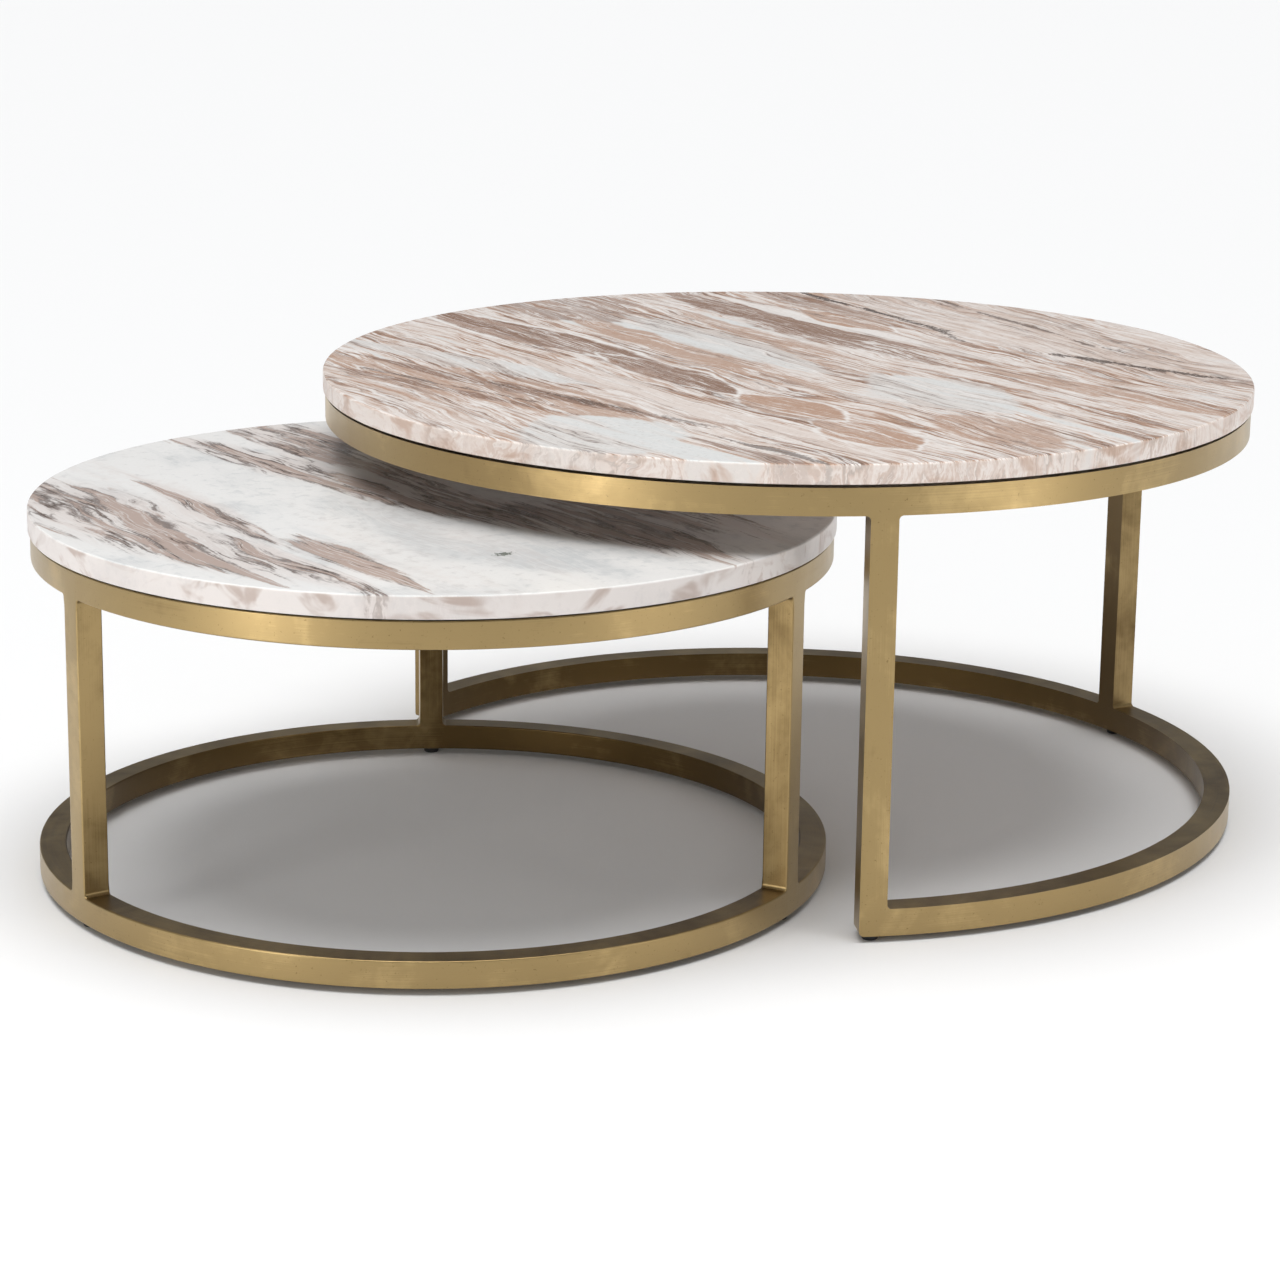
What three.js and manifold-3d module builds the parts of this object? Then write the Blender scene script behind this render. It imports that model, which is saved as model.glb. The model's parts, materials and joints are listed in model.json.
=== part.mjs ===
// Nesting tables: two round stone-topped coffee tables. The low one slides in under the high one.
// Each frame is a welded square tube: a closed ring under the stone, three legs and a ring on the floor.
// The high table's floor ring is left open towards the low table, so that the low one can pass.
// Units are millimetres, +Z is up. +X runs from the low table to the high one, along the nesting line.
import * as THREE from 'three';
import { mergeVertices } from 'three/addons/utils/BufferGeometryUtils.js';
import Module from 'manifold-3d';

const wasm = await Module();
wasm.setup();

// ---------- driving dimensions ----------

const TUBE = 25; // outside width of the square tube
const WALL = 2; // tube wall
const FOOT_HEIGHT = 6; // levelling foot showing under the floor ring, wound right in
const OVERHANG = 2; // stone beyond the tube, all round
const WELD = 4; // radius of the ground weld beside each leg
const END_CORNER = 5; // rounded lower corner at the open ends of the high table's floor ring
const FIT = 0.3; // gap left beside a welded or bonded piece
const RING_STEPS = 96; // sides of a large round
const BOLT_STEPS = 12; // sides of a small round

// distances from the middle of the whole set to each table's own centre
const HIGH_CENTRE_X = 159;
const LOW_CENTRE_X = -239;

const HIGH = {
  name: 'large',
  stoneRadius: 450,
  stoneThickness: 18,
  height: 434,
  padThickness: 3,
  turn: -1.5,
  legs: { back: 0, left: 113.5, right: -113.5 },
  openEnds: { left: 1, right: -1 },
  fixings: [60, 180, 300],
};

const LOW = {
  name: 'small',
  stoneRadius: 370,
  stoneThickness: 20.5,
  height: 350,
  padThickness: 1.5,
  turn: 0,
  legs: { front: 180, left: 60, right: -60 },
  openEnds: {},
  fixings: [0, 120, 240],
};

// levelling foot: a plastic glide moulded on a steel stud, which screws into a bush inside the tube
const GLIDE = { radius: 8, soleRadius: 7, chamfer: 1, socketRadius: 3.2, socketFloor: 2 };
const STUD = { radius: 3, top: 21, point: 1 };
const BUSH = { radius: 6.5, bore: 3.2, length: 9 };
const STUD_HOLE_RADIUS = 3.5;
const VENT_RADIUS = 4; // plating vents between the leg and the rings

// stone fixing: a tab welded inside the upper ring, and a screw up into an insert bonded in the stone
const TAB = { width: 32, reach: 34, thickness: 3, corner: 6, holeRadius: 3.6, holeFromRing: 20 };
const SCREW = { radius: 2.9, length: 14, headRadius: 6, headHeight: 3.4, socketRadius: 2, socketDepth: 2 };
const INSERT = { radius: 5, bore: 3.1, length: 11, holeClearance: 0.4, holeDepth: 12.5 };
const PAD_RADIUS = 9;
const ARRIS = 1.6; // eased edge of the stone

// ---------- materials ----------

function surface(colour, metalness, roughness) {
  return new THREE.MeshStandardMaterial({ color: colour, metalness, roughness });
}

const FINISH = {
  pinkMarble: surface(0xd9cdc6, 0.0, 0.25),
  whiteMarble: surface(0xe9e8e6, 0.0, 0.25),
  agedBrass: surface(0xa88b55, 1.0, 0.38),
  blackPlastic: surface(0x16161a, 0.0, 0.55),
  blackRubber: surface(0x1b1b1b, 0.0, 0.8),
  platedSteel: surface(0xb9bcc0, 1.0, 0.35),
  plainBrass: surface(0xc9a85c, 1.0, 0.4),
};

// ---------- solids ----------

// A closed geometry as a solid: shared corners merged, and the flat triangles at an axis dropped.
function toSolid(geometry) {
  const bare = geometry.clone();
  bare.deleteAttribute('normal');
  bare.deleteAttribute('uv');
  const merged = mergeVertices(bare, 1e-3);
  const index = merged.index.array;
  const kept = [];
  for (let i = 0; i < index.length; i += 3) {
    const [a, b, c] = [index[i], index[i + 1], index[i + 2]];
    if (a !== b && b !== c && c !== a) kept.push(a, b, c);
  }
  const mesh = new wasm.Mesh({
    numProp: 3,
    vertProperties: new Float32Array(merged.attributes.position.array),
    triVerts: new Uint32Array(kept),
  });
  return new wasm.Manifold(mesh);
}

function toGeometry(solid) {
  const mesh = solid.getMesh();
  const geometry = new THREE.BufferGeometry();
  geometry.setAttribute('position', new THREE.BufferAttribute(new Float32Array(mesh.vertProperties), 3));
  geometry.setIndex(new THREE.BufferAttribute(new Uint32Array(mesh.triVerts), 1));
  geometry.computeVertexNormals();
  return geometry;
}

// A turned solid about Z. The profile is a list of [radius, height], anticlockwise.
function turned(profile, steps) {
  const points = profile.map(([radius, height]) => new THREE.Vector2(radius, height));
  return new THREE.LatheGeometry(points, steps).rotateX(Math.PI / 2);
}

function disc(radius, bottom, top, steps = BOLT_STEPS) {
  return turned([[0, bottom], [radius, bottom], [radius, top], [0, top]], steps);
}

// A ring of rectangular section about Z; its profile closes on itself.
function ring(inner, outer, bottom, top, steps) {
  const profile = [[inner, bottom], [outer, bottom], [outer, top], [inner, top], [inner, bottom]];
  return turned(profile, steps);
}

function block(sizeX, sizeY, bottom, top, x = 0, y = 0) {
  return new THREE.BoxGeometry(sizeX, sizeY, top - bottom).translate(x, y, (bottom + top) / 2);
}

// An outline drawn in the Y-Z plane, run along X from `near` to `far`.
function alongX(shape, near, far) {
  const geometry = new THREE.ExtrudeGeometry(shape, {
    depth: far - near,
    bevelEnabled: false,
    curveSegments: 4,
  });
  return geometry.rotateX(Math.PI / 2).rotateZ(Math.PI / 2).translate(near, 0, 0);
}

function radians(degrees) {
  return THREE.MathUtils.degToRad(degrees);
}

// The levels of a table, worked out downwards from its top and upwards from the floor.
function levels(table) {
  const stoneBottom = table.height - table.stoneThickness;
  const upperRingTop = stoneBottom - table.padThickness;
  return {
    stoneBottom,
    upperRingTop,
    upperRingBottom: upperRingTop - TUBE,
    floorRingTop: FOOT_HEIGHT + TUBE,
    tubeOutside: table.stoneRadius - OVERHANG,
    tubeInside: table.stoneRadius - OVERHANG - TUBE,
    tubeMiddle: table.stoneRadius - OVERHANG - TUBE / 2,
  };
}

// ---------- frame ----------

// Square tube rolled into a ring, with a vent under or over each leg.
function tubeRing(table, bottom, steps) {
  const { tubeInside, tubeOutside } = levels(table);
  const skin = toSolid(ring(tubeInside, tubeOutside, bottom, bottom + TUBE, steps));
  const hollow = ring(tubeInside + WALL, tubeOutside - WALL, bottom + WALL, bottom + TUBE - WALL, steps);
  return skin.subtract(toSolid(hollow));
}

// A round hole through one wall of a ring, at a leg.
function holeAt(table, angle, radius, bottom, top) {
  const geometry = disc(radius, bottom, top).translate(levels(table).tubeMiddle, 0, 0);
  return toSolid(geometry.rotateZ(radians(angle)));
}

function upperRing(table) {
  const { upperRingBottom } = levels(table);
  let solid = tubeRing(table, upperRingBottom, RING_STEPS);
  for (const angle of Object.values(table.legs)) {
    solid = solid.subtract(holeAt(table, angle, VENT_RADIUS, upperRingBottom - 1, upperRingBottom + WALL + 1));
  }
  return toGeometry(solid);
}

// The open side of the floor ring: all that lies beyond the outer sides of the two end legs.
function openingCutter(table) {
  const { tubeOutside, tubeMiddle } = levels(table);
  const corner = (name, radius) => {
    const angle = radians(table.legs[name]);
    const side = table.openEnds[name] * (TUBE / 2 - END_CORNER);
    return new THREE.Vector2(radius, side).rotateAround(new THREE.Vector2(), angle);
  };
  const beyond = -2 * tubeOutside;
  const shape = new THREE.Shape([
    corner('left', tubeMiddle / 2),
    corner('left', tubeOutside * 1.5),
    new THREE.Vector2(beyond, tubeOutside * 1.5),
    new THREE.Vector2(beyond, -tubeOutside * 1.5),
    corner('right', tubeOutside * 1.5),
    corner('right', tubeMiddle / 2),
  ]);
  const geometry = new THREE.ExtrudeGeometry(shape, { depth: 2 * TUBE + FOOT_HEIGHT, bevelEnabled: false });
  return toSolid(geometry.translate(0, 0, -TUBE / 2));
}

function floorRing(table) {
  const { floorRingTop } = levels(table);
  let solid = tubeRing(table, FOOT_HEIGHT, RING_STEPS);
  if (Object.keys(table.openEnds).length > 0) solid = solid.subtract(openingCutter(table));
  for (const angle of Object.values(table.legs)) {
    solid = solid.subtract(holeAt(table, angle, VENT_RADIUS, floorRingTop - WALL - 1, floorRingTop + 1));
    solid = solid.subtract(holeAt(table, angle, STUD_HOLE_RADIUS, FOOT_HEIGHT - 1, FOOT_HEIGHT + WALL + 1));
  }
  return toGeometry(solid);
}

// A leg seen along the radius. Its sides flare into the rings through the ground welds;
// a leg at an open end of the floor ring runs straight down on its open side.
function legOutline(bottom, top, openSide) {
  const half = TUBE / 2;
  const shape = new THREE.Shape();
  if (openSide === -1) {
    shape.moveTo(-half, bottom);
  } else {
    shape.moveTo(-half - WELD, bottom);
  }
  if (openSide === 1) {
    shape.lineTo(half, bottom);
  } else {
    shape.lineTo(half + WELD, bottom);
    shape.absarc(half + WELD, bottom + WELD, WELD, -Math.PI / 2, -Math.PI, true);
  }
  shape.lineTo(half, top - WELD);
  shape.absarc(half + WELD, top - WELD, WELD, Math.PI, Math.PI / 2, true);
  shape.lineTo(-half - WELD, top);
  shape.absarc(-half - WELD, top - WELD, WELD, Math.PI / 2, 0, true);
  if (openSide !== -1) {
    shape.lineTo(-half, bottom + WELD);
    shape.absarc(-half - WELD, bottom + WELD, WELD, 0, -Math.PI / 2, true);
  }
  return shape;
}

function leg(table, name) {
  const { floorRingTop, upperRingBottom, tubeInside, tubeOutside, tubeMiddle } = levels(table);
  const outline = legOutline(floorRingTop, upperRingBottom, table.openEnds[name]);
  const bore = TUBE - 2 * WALL;
  const hollow = block(bore, bore, floorRingTop - 1, upperRingBottom + 1, tubeMiddle);
  return toGeometry(toSolid(alongX(outline, tubeInside, tubeOutside)).subtract(toSolid(hollow)));
}

// The plug that closes an open end of the floor ring, with its lower corner rounded.
function endCap(table, name) {
  const { floorRingTop, tubeInside, tubeOutside } = levels(table);
  const side = table.openEnds[name];
  const near = side * (TUBE / 2 - END_CORNER + FIT);
  const far = side * (TUBE / 2);
  const shape = new THREE.Shape();
  shape.moveTo(near, FOOT_HEIGHT);
  shape.absarc(near, FOOT_HEIGHT + END_CORNER, END_CORNER - FIT, -Math.PI / 2, side > 0 ? 0 : -Math.PI, side < 0);
  shape.lineTo(far, floorRingTop);
  shape.lineTo(near, floorRingTop);
  return toGeometry(toSolid(alongX(shape, tubeInside, tubeOutside)));
}

// ---------- feet ----------

function footGlide(table) {
  const { radius, soleRadius, chamfer, socketRadius, socketFloor } = GLIDE;
  const profile = [
    [0, 0],
    [soleRadius - chamfer, 0],
    [soleRadius, chamfer],
    [radius, FOOT_HEIGHT - chamfer],
    [radius, FOOT_HEIGHT - FIT],
    [socketRadius, FOOT_HEIGHT - FIT],
    [socketRadius, socketFloor],
    [0, socketFloor],
  ];
  return toGeometry(toSolid(turned(profile, 2 * BOLT_STEPS).translate(levels(table).tubeMiddle, 0, 0)));
}

function footStud(table) {
  const bottom = GLIDE.socketFloor + FIT / 3;
  const profile = [
    [0, bottom],
    [STUD.radius, bottom],
    [STUD.radius, STUD.top - STUD.point],
    [STUD.radius - STUD.point, STUD.top],
    [0, STUD.top],
  ];
  return toGeometry(toSolid(turned(profile, BOLT_STEPS).translate(levels(table).tubeMiddle, 0, 0)));
}

function footBush(table) {
  const seat = FOOT_HEIGHT + WALL;
  const geometry = ring(BUSH.bore, BUSH.radius, seat, seat + BUSH.length, BOLT_STEPS);
  return toGeometry(toSolid(geometry.translate(levels(table).tubeMiddle, 0, 0)));
}

// ---------- stone and its fixings ----------

function fixingRadius(table) {
  return levels(table).tubeInside - TAB.holeFromRing;
}

function stoneTop(table) {
  const { stoneBottom } = levels(table);
  const [edge, top] = [table.stoneRadius, table.height];
  const halfway = ARRIS * (1 - Math.SQRT1_2);
  const profile = [
    [0, stoneBottom],
    [edge - ARRIS / 2, stoneBottom],
    [edge, stoneBottom + ARRIS / 2],
    [edge, top - ARRIS],
    [edge - halfway, top - halfway],
    [edge - ARRIS, top],
    [0, top],
  ];
  let solid = toSolid(turned(profile, RING_STEPS));
  for (const angle of table.fixings) {
    const hole = disc(INSERT.radius + INSERT.holeClearance, stoneBottom - 1, stoneBottom + INSERT.holeDepth);
    solid = solid.subtract(toSolid(hole.translate(fixingRadius(table), 0, 0).rotateZ(radians(angle))));
  }
  return toGeometry(solid);
}

// A flat tab lying level with the top of the ring, with its two inner corners rounded.
function fixingTab(table) {
  const { upperRingTop, tubeInside } = levels(table);
  const half = TAB.width / 2;
  const flatOfRing = tubeInside * Math.cos(Math.PI / RING_STEPS);
  const outer = Math.sqrt(flatOfRing ** 2 - half ** 2) - FIT;
  const inner = tubeInside - TAB.reach;
  const shape = new THREE.Shape();
  shape.moveTo(outer, -half);
  shape.lineTo(outer, half);
  shape.lineTo(inner + TAB.corner, half);
  shape.absarc(inner + TAB.corner, half - TAB.corner, TAB.corner, Math.PI / 2, Math.PI, false);
  shape.absarc(inner + TAB.corner, TAB.corner - half, TAB.corner, Math.PI, 1.5 * Math.PI, false);
  const plate = new THREE.ExtrudeGeometry(shape, { depth: TAB.thickness, bevelEnabled: false, curveSegments: 4 });
  plate.translate(0, 0, upperRingTop - TAB.thickness);
  const hole = disc(TAB.holeRadius, upperRingTop - 2 * TAB.thickness, upperRingTop + 1);
  hole.translate(fixingRadius(table), 0, 0);
  return toGeometry(toSolid(plate).subtract(toSolid(hole)));
}

function fixingScrew(table) {
  const seat = levels(table).upperRingTop - TAB.thickness;
  const profile = [
    [0, seat - SCREW.headHeight + SCREW.socketDepth],
    [SCREW.socketRadius, seat - SCREW.headHeight + SCREW.socketDepth],
    [SCREW.socketRadius, seat - SCREW.headHeight],
    [SCREW.headRadius * 0.7, seat - SCREW.headHeight],
    [SCREW.headRadius, seat - SCREW.headHeight / 2],
    [SCREW.headRadius, seat],
    [SCREW.radius, seat],
    [SCREW.radius, seat + SCREW.length],
    [0, seat + SCREW.length],
  ];
  return toGeometry(toSolid(turned(profile, BOLT_STEPS).translate(fixingRadius(table), 0, 0)));
}

function fixingInsert(table) {
  const { stoneBottom } = levels(table);
  const geometry = ring(INSERT.bore, INSERT.radius, stoneBottom, stoneBottom + INSERT.length, BOLT_STEPS);
  return toGeometry(toSolid(geometry.translate(fixingRadius(table), 0, 0)));
}

function stonePad(table) {
  const { upperRingTop, stoneBottom, tubeMiddle } = levels(table);
  return toGeometry(toSolid(disc(PAD_RADIUS, upperRingTop, stoneBottom).translate(tubeMiddle, 0, 0)));
}

// ---------- assembly ----------

function mesh(name, geometry, material) {
  const piece = new THREE.Mesh(geometry, material);
  piece.name = name;
  return piece;
}

// A group turned about the table's centre, so that its pieces are drawn along the X axis.
function spoke(angle, pieces) {
  const group = new THREE.Group();
  group.rotation.z = radians(angle);
  group.add(...pieces);
  return group;
}

function legAndFoot(table, name) {
  const pieces = [
    mesh(`${table.name}_leg_${name}`, leg(table, name), FINISH.agedBrass),
    mesh(`${table.name}_foot_glide_${name}`, footGlide(table), FINISH.blackPlastic),
    mesh(`${table.name}_foot_stud_${name}`, footStud(table), FINISH.platedSteel),
    mesh(`${table.name}_foot_bush_${name}`, footBush(table), FINISH.platedSteel),
  ];
  if (table.openEnds[name]) {
    pieces.push(mesh(`${table.name}_ring_cap_${name}`, endCap(table, name), FINISH.agedBrass));
  }
  return spoke(table.legs[name], pieces);
}

function stoneFixing(table, angle, number) {
  return spoke(angle, [
    mesh(`${table.name}_fixing_tab_${number}`, fixingTab(table), FINISH.agedBrass),
    mesh(`${table.name}_fixing_screw_${number}`, fixingScrew(table), FINISH.platedSteel),
    mesh(`${table.name}_fixing_insert_${number}`, fixingInsert(table), FINISH.plainBrass),
    mesh(`${table.name}_stone_pad_${number}`, stonePad(table), FINISH.blackRubber),
  ]);
}

function buildTable(table, centreX, marble) {
  const group = new THREE.Group();
  group.position.x = centreX;
  group.rotation.z = radians(table.turn);
  group.add(mesh(`${table.name}_marble_top`, stoneTop(table), marble));
  group.add(mesh(`${table.name}_upper_ring`, upperRing(table), FINISH.agedBrass));
  group.add(mesh(`${table.name}_floor_ring`, floorRing(table), FINISH.agedBrass));
  for (const name of Object.keys(table.legs)) group.add(legAndFoot(table, name));
  table.fixings.forEach((angle, i) => group.add(stoneFixing(table, angle, i + 1)));
  return group;
}

const nestingTables = new THREE.Group();
nestingTables.add(buildTable(HIGH, HIGH_CENTRE_X, FINISH.pinkMarble));
nestingTables.add(buildTable(LOW, LOW_CENTRE_X, FINISH.whiteMarble));

export default nestingTables;
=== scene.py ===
"""Nesting tables: the looks of two round stone-topped tables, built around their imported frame.

Everything is in metres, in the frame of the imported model. Sizes and places come from its nodes.
"""

import json
import math

import bmesh
import bpy
from mathutils import Matrix, Vector


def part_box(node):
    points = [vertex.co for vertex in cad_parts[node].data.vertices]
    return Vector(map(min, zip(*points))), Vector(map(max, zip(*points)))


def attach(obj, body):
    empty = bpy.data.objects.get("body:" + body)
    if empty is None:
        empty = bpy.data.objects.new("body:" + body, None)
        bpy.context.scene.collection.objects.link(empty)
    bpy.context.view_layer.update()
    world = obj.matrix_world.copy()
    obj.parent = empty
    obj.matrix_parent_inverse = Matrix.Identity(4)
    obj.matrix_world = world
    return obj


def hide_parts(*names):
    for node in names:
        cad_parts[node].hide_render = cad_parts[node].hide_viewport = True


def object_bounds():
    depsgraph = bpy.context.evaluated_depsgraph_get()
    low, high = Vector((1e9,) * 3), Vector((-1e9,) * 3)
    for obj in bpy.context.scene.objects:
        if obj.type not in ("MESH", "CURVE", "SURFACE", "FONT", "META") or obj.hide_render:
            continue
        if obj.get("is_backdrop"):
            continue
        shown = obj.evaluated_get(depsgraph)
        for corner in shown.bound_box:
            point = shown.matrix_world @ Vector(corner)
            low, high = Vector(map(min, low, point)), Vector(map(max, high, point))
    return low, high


bl_info = {
    "name": "Nesting Tables",
    "version": (1, 0, 0),
    "blender": (4, 5, 0),
    "location": "View3D > Sidebar > Nesting Tables",
    "description": "Builds the marble tops, brass frames and small parts of two nesting tables",
    "category": "Object",
}

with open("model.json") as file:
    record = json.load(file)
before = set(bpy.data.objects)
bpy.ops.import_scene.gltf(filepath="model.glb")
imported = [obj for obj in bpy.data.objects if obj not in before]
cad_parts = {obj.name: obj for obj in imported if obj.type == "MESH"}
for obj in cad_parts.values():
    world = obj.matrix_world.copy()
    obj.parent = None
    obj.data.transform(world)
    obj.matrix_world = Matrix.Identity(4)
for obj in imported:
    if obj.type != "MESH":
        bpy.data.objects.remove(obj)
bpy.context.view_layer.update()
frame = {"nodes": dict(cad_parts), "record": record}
TABLES = ("large", "small")
ROUND_STEPS = 240  # sides of a top or a ring
ARC_STEPS = 6  # steps of a small quarter round
SENSOR_WIDTH = 36.0  # millimetres
SUN_SPREAD = math.radians(50)  # a wide sun is a soft one
SUN_LEAN = math.radians(4)
SKY_TINT = (0.97, 0.985, 1.0, 1.0)
PANEL_TINT = (1.0, 0.985, 0.96)
# soft panels: place (right, away, up) from the middle of the set, size in metres, power in watts
PANELS = {
    "Left panel": ((-1.70, -1.90, 0.38), (0.60, 1.0), 14.0),
    "Right panel": ((1.80, -1.35, 0.35), (0.45, 0.9), 5.5),
}


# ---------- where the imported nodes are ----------


def middle(node):
    low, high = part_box(node)
    return (low + high) / 2


def nodes_of(table, kind):
    """Names of one table's nodes of a kind, such as its legs."""
    return sorted(name for name in frame["nodes"] if name.startswith(f"{table}_{kind}_"))


def heading(table, node):
    """Angle about the table's own centre at which a node lies."""
    offset = middle(node) - middle(f"{table}_marble_top")
    return math.atan2(offset.y, offset.x)


def body_of(node):
    members = frame["record"]["behaviour"]["bodies"]
    return next(body for body, names in members.items() if node in names)


class Table:
    """The measures of one table, read from its nodes."""

    def __init__(self, name):
        stone_low, stone_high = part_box(f"{name}_marble_top")
        upper_low, upper_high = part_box(f"{name}_upper_ring")
        floor_low, floor_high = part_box(f"{name}_floor_ring")
        self.name = name
        self.centre = Vector((*middle(f"{name}_marble_top").xy, 0.0))
        self.stone = (stone_low.z, stone_high.z)
        self.stone_radius = (stone_high.x - stone_low.x) / 2
        self.upper = (upper_low.z, upper_high.z)
        self.floor = (floor_low.z, floor_high.z)
        self.tube = upper_high.z - upper_low.z
        self.outside = (upper_high.x - upper_low.x) / 2
        self.inside = self.outside - self.tube
        self.legs = {leg: heading(name, leg) for leg in nodes_of(name, "leg")}
        self.caps = {cap: heading(name, cap) for cap in nodes_of(name, "ring_cap")}


# ---------- shader building ----------


class Wire:
    """A socket inside a material, so that shader maths reads as an expression."""

    def __init__(self, shader, socket):
        self.shader = shader
        self.socket = socket

    def maths(self, operation, *values, clamp=False):
        settings = {"operation": operation, "use_clamp": clamp}
        return self.shader.node("ShaderNodeMath", settings, dict(enumerate(values)))

    def __add__(self, other):
        return self.maths("ADD", self, other)

    def __radd__(self, other):
        return self.maths("ADD", other, self)

    def __sub__(self, other):
        return self.maths("SUBTRACT", self, other)

    def __rsub__(self, other):
        return self.maths("SUBTRACT", other, self)

    def __mul__(self, other):
        return self.maths("MULTIPLY", self, other)

    def __rmul__(self, other):
        return self.maths("MULTIPLY", other, self)

    def __truediv__(self, other):
        return self.maths("DIVIDE", self, other)

    def size(self):
        return self.maths("ABSOLUTE", self)

    def root(self):
        return self.maths("SQRT", self)

    def held(self):
        """The value, held between 0 and 1."""
        return self.maths("ADD", self, 0.0, clamp=True)

    def rise(self, low, high):
        """0 below low, 1 above high, and a smooth step between them."""
        settings = {"interpolation_type": "SMOOTHSTEP"}
        sockets = {"Value": self, "From Min": low, "From Max": high}
        return self.shader.node("ShaderNodeMapRange", settings, sockets)

    def bump_at(self, place, reach):
        """1 at a value, falling smoothly to 0 at a reach on both sides of it."""
        return 1 - (self - place).size().rise(0.0, reach)


class Shader:
    """A material under construction, with a Principled surface."""

    def __init__(self, name):
        self.material = bpy.data.materials.new(name)
        self.material.use_nodes = True
        self.tree = self.material.node_tree
        self.surface = self.tree.nodes["Principled BSDF"]
        self.place = self.node("ShaderNodeTexCoord", out="Object")

    def node(self, kind, settings=None, sockets=None, out=0):
        """A node of a type, with its settings made first and then its sockets filled."""
        made = self.tree.nodes.new(kind)
        for key, value in (settings or {}).items():
            if key == "stops":
                self.fill_ramp(made.color_ramp, value)
            else:
                setattr(made, key, value)
        for key, value in (sockets or {}).items():
            self.fill(made.inputs[key], value)
        return Wire(self, made.outputs[out])

    def fill(self, socket, value):
        if isinstance(value, Wire):
            self.tree.links.new(value.socket, socket)
        else:
            socket.default_value = value

    def fill_ramp(self, ramp, stops):
        while len(ramp.elements) < len(stops):
            ramp.elements.new(1.0)
        for element, (position, colour) in zip(ramp.elements, stops):
            element.position = position
            element.color = (*colour, 1.0)

    def split(self, vector):
        parts = self.node("ShaderNodeSeparateXYZ", sockets={0: vector}).socket.node
        return [Wire(self, parts.outputs[axis]) for axis in range(3)]

    def join(self, x, y, z):
        return self.node("ShaderNodeCombineXYZ", sockets={0: x, 1: y, 2: z})

    def noise(self, vector, scale, detail=3.0, roughness=0.55, distortion=0.0):
        sockets = {
            "Vector": vector,
            "Scale": scale,
            "Detail": detail,
            "Roughness": roughness,
            "Distortion": distortion,
        }
        return self.node("ShaderNodeTexNoise", sockets=sockets)

    def blend(self, factor, first, second):
        """Colours blended by a factor."""
        settings = {"data_type": "RGBA", "blend_type": "MIX", "clamp_factor": True}
        first = first if isinstance(first, Wire) else (*first, 1.0)
        second = second if isinstance(second, Wire) else (*second, 1.0)
        return self.node("ShaderNodeMix", settings, {0: factor, 6: first, 7: second}, out=2)

    def ramp(self, factor, stops):
        return self.node("ShaderNodeValToRGB", {"stops": stops}, {0: factor})

    def set(self, **sockets):
        for key, value in sockets.items():
            self.fill(self.surface.inputs[key.replace("_", " ")], value)

    def raise_surface(self, height, depth):
        """A bump: depth is the height in metres that the value 1 stands for."""
        sockets = {"Height": height, "Distance": depth, "Strength": 1.0}
        self.set(Normal=self.node("ShaderNodeBump", sockets=sockets))


# ---------- settings ----------


def colour(name, description, value):
    return bpy.props.FloatVectorProperty(
        name=name,
        description=description,
        default=value,
        size=3,
        min=0.0,
        max=1.0,
        subtype="COLOR",
    )


def length(name, description, value):
    return bpy.props.FloatProperty(
        name=name,
        description=description,
        default=value,
        min=0.0,
        unit="LENGTH",
        subtype="DISTANCE",
        precision=4,
    )


def angle(name, description, degrees):
    return bpy.props.FloatProperty(
        name=name,
        description=description,
        default=math.radians(degrees),
        unit="ROTATION",
        subtype="ANGLE",
    )


def amount(name, description, value):
    return bpy.props.FloatProperty(
        name=name, description=description, default=value, subtype="FACTOR"
    )


class StoneSettings(bpy.types.PropertyGroup):
    """Edges and colours of the marble."""

    arris: length("Eased edge", "Radius of the eased upper edge of the stone", 0.002)
    lower_arris: length("Lower edge", "Radius of the eased lower edge of the stone", 0.0008)
    pale: colour("Pale stone", "Ground colour of the brown-veined stone", (0.80, 0.71, 0.655))
    frost: colour("Frost", "Blue-white patches of the brown-veined stone", (0.76, 0.765, 0.755))
    tan: colour("Tan bands", "Lighter brown bands", (0.50, 0.315, 0.220))
    brown: colour("Brown bands", "Darker brown lozenges and bands", (0.265, 0.150, 0.098))
    thread: colour("White threads", "Thin wavy threads between the bands", (0.90, 0.86, 0.83))
    crack: colour("Dark cracks", "Thin dark lines", (0.060, 0.032, 0.020))
    white: colour("White stone", "Ground colour of the white stone", (0.83, 0.82, 0.805))
    cloud: colour("Grey clouds", "Soft grey clouds of the white stone", (0.56, 0.58, 0.59))
    blush: colour("Blush", "Pinkish stone around the veins of the white stone", (0.72, 0.645, 0.61))
    stain: colour("Brown stains", "Veined zones of the white stone", (0.37, 0.250, 0.195))
    moss: colour("Green fleck", "Small dark green flecks of the white stone", (0.10, 0.12, 0.09))


class BrassSettings(bpy.types.PropertyGroup):
    """Shape of the welded frame's edges and colours of its finish."""

    edge: length("Tube edge", "Radius of the square tube's edges", 0.0014)
    weld: length("Weld", "Radius of the ground weld beside each leg", 0.004)
    corner: length("Open end corner", "Radius of the floor ring's lower corner, open ends", 0.005)
    # the rubbed colour is also laid on faces turned outward as painted light, and the tarnish on
    # faces turned inward, up or down as painted shade
    bright: colour("Rubbed brass", "Colour where the finish is rubbed bright", (0.56, 0.405, 0.185))
    aged: colour("Aged brass", "Colour of most of the finish", (0.37, 0.262, 0.112))
    dark: colour("Tarnish", "Colour of the darkest tarnish", (0.125, 0.074, 0.019))
    roughness: amount("Roughness", "Roughness of the brushed surface", 0.38)


class FootSettings(bpy.types.PropertyGroup):
    """Shape and colour of the small parts under the tables."""

    rounding: length("Rounding", "Radius of the glide's lower edge", 0.0012)
    plastic: colour("Plastic", "Colour of the glides", (0.012, 0.012, 0.013))
    rubber: colour("Rubber", "Colour of the pads under the stone", (0.018, 0.018, 0.018))
    hexagon: length("Hexagon", "Width across flats of the fixing screws' sockets", 0.004)


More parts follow.
